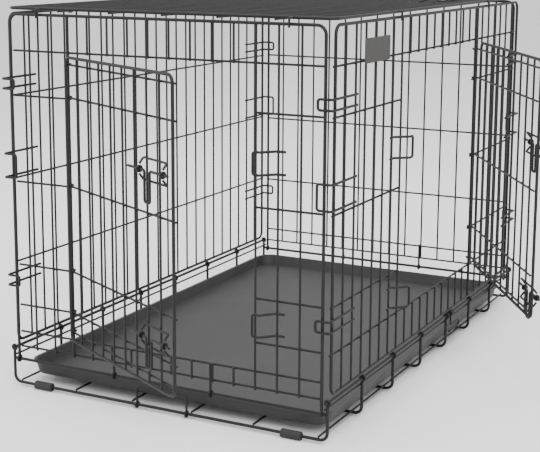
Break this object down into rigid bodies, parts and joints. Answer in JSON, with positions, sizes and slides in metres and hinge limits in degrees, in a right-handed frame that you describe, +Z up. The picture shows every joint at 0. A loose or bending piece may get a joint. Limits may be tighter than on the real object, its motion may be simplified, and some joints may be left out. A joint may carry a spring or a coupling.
{
  "type": "wire dog crate",
  "caption": "Folding rectangular wire crate for a dog, with a hinged door in one end and one side, slide bolts, a lift-up top and a slide-out tray.",
  "frame": {"origin": "on the floor under the middle of the base", "axes": "+X across the crate towards the side with a door, +Y from the end with a door to the closed end, +Z up"},
  "size_m": [0.8081, 1.0961, 0.6468],
  "materials": {
    "coated_wire": "satin black electro-coat over steel wire",
    "tray_plastic": "moulded black plastic with fine grain",
    "foot_rubber": "matte black rubber sleeve",
    "label_plate": "plain blank plate",
    "grip_plastic": "smooth moulded sleeve"
  },
  "bodies": {
    "crate": {"base_cross_wires": "coated_wire", "base_floor_wires": "coated_wire", "base_side_rails": "coated_wire", "end_hinge_wires": "coated_wire", "base_eyelets": "coated_wire", "side_hinge_wires": "coated_wire", "feet": "foot_rubber", "left_frame": "coated_wire", "right_frame": "coated_wire", "left_uprights": "coated_wire", "left_long_wires": "coated_wire", "right_uprights": "coated_wire", "right_door_post": "coated_wire", "right_long_wires": "coated_wire", "left_corner_loops": "coated_wire", "right_corner_loops": "coated_wire", "label_plate": "label_plate", "side_receivers": "coated_wire"},
    "front_panel": {"front_frame": "coated_wire", "front_hinge_hooks": "coated_wire", "front_uprights": "coated_wire", "front_door_post": "coated_wire", "front_long_wires": "coated_wire", "front_receivers": "coated_wire"},
    "rear_panel": {"rear_frame": "coated_wire", "rear_hinge_hooks": "coated_wire", "rear_uprights": "coated_wire", "rear_long_wires": "coated_wire"},
    "front_door": {"front_door_frame": "coated_wire", "front_door_uprights": "coated_wire", "front_door_long_wires": "coated_wire", "front_door_hinge_rings": "coated_wire", "front_bolt_brackets": "coated_wire"},
    "front_upper_bolt": {"front_upper_bolt": "coated_wire"},
    "front_lower_bolt": {"front_lower_bolt": "coated_wire"},
    "side_door": {"side_door_frame": "coated_wire", "side_door_uprights": "coated_wire", "side_door_long_wires": "coated_wire", "side_door_hinge_rings": "coated_wire", "side_bolt_brackets": "coated_wire"},
    "side_upper_bolt": {"side_upper_bolt": "coated_wire"},
    "side_lower_bolt": {"side_lower_bolt": "coated_wire"},
    "top_panel": {"top_frame": "coated_wire", "top_cross_wires": "coated_wire", "top_long_wires": "coated_wire", "top_hinge_rings": "coated_wire", "top_hooks": "coated_wire"},
    "carry_handle": {"carry_bail": "coated_wire", "carry_sleeve": "grip_plastic"},
    "tray": {"tray": "tray_plastic"},
    "tray_stop": {"tray_stop": "coated_wire"},
    "side_latch": {"side_latch": "coated_wire"}
  },
  "joints": [
    {"name": "front_panel_fold", "type": "hinge", "parent": "crate", "child": "front_panel", "pos_m": [0, -0.4545, 0.048], "axis": [1, 0, 0], "range_deg": [-90, 0]},
    {"name": "rear_panel_fold", "type": "hinge", "parent": "crate", "child": "rear_panel", "pos_m": [0, 0.4545, 0.048], "axis": [1, 0, 0], "range_deg": [0, 90]},
    {"name": "front_door_swing", "type": "hinge", "parent": "front_panel", "child": "front_door", "pos_m": [-0.1677, -0.4545, 0], "axis": [0, 0, -1], "range_deg": [-28, 107]},
    {"name": "side_door_swing", "type": "hinge", "parent": "crate", "child": "side_door", "pos_m": [0.2895, 0.18479, 0], "axis": [0, 0, 1], "range_deg": [-33, 102]},
    {"name": "front_upper_bolt_slide", "type": "slide", "parent": "front_door", "child": "front_upper_bolt", "axis": [0.8829, -0.4695, 0], "range_m": [0, 0.026]},
    {"name": "front_lower_bolt_slide", "type": "slide", "parent": "front_door", "child": "front_lower_bolt", "axis": [0.8829, -0.4695, 0], "range_m": [0, 0.026]},
    {"name": "side_upper_bolt_slide", "type": "slide", "parent": "side_door", "child": "side_upper_bolt", "axis": [0.5446, -0.8387, 0], "range_m": [0, 0.026]},
    {"name": "side_lower_bolt_slide", "type": "slide", "parent": "side_door", "child": "side_lower_bolt", "axis": [0.5446, -0.8387, 0], "range_m": [0, 0.026]},
    {"name": "top_panel_lift", "type": "hinge", "parent": "crate", "child": "top_panel", "pos_m": [-0.2895, 0, 0.6234], "axis": [0, -1, 0], "range_deg": [0, 100]},
    {"name": "carry_handle_swing", "type": "hinge", "parent": "top_panel", "child": "carry_handle", "pos_m": [0.193, 0, 0.62898], "axis": [0, -1, 0], "range_deg": [0, 90]},
    {"name": "tray_slide", "type": "slide", "parent": "crate", "child": "tray", "axis": [0, 1, 0], "range_m": [0, 0.6]},
    {"name": "tray_stop_swing", "type": "hinge", "parent": "crate", "child": "tray_stop", "pos_m": [0, -0.4545, 0.007], "axis": [1, 0, 0], "range_deg": [0, 80]},
    {"name": "side_latch_swing", "type": "hinge", "parent": "crate", "child": "side_latch", "pos_m": [0.2895, 0, 0.066], "axis": [0, -1, 0], "range_deg": [0, 80]}
  ]
}
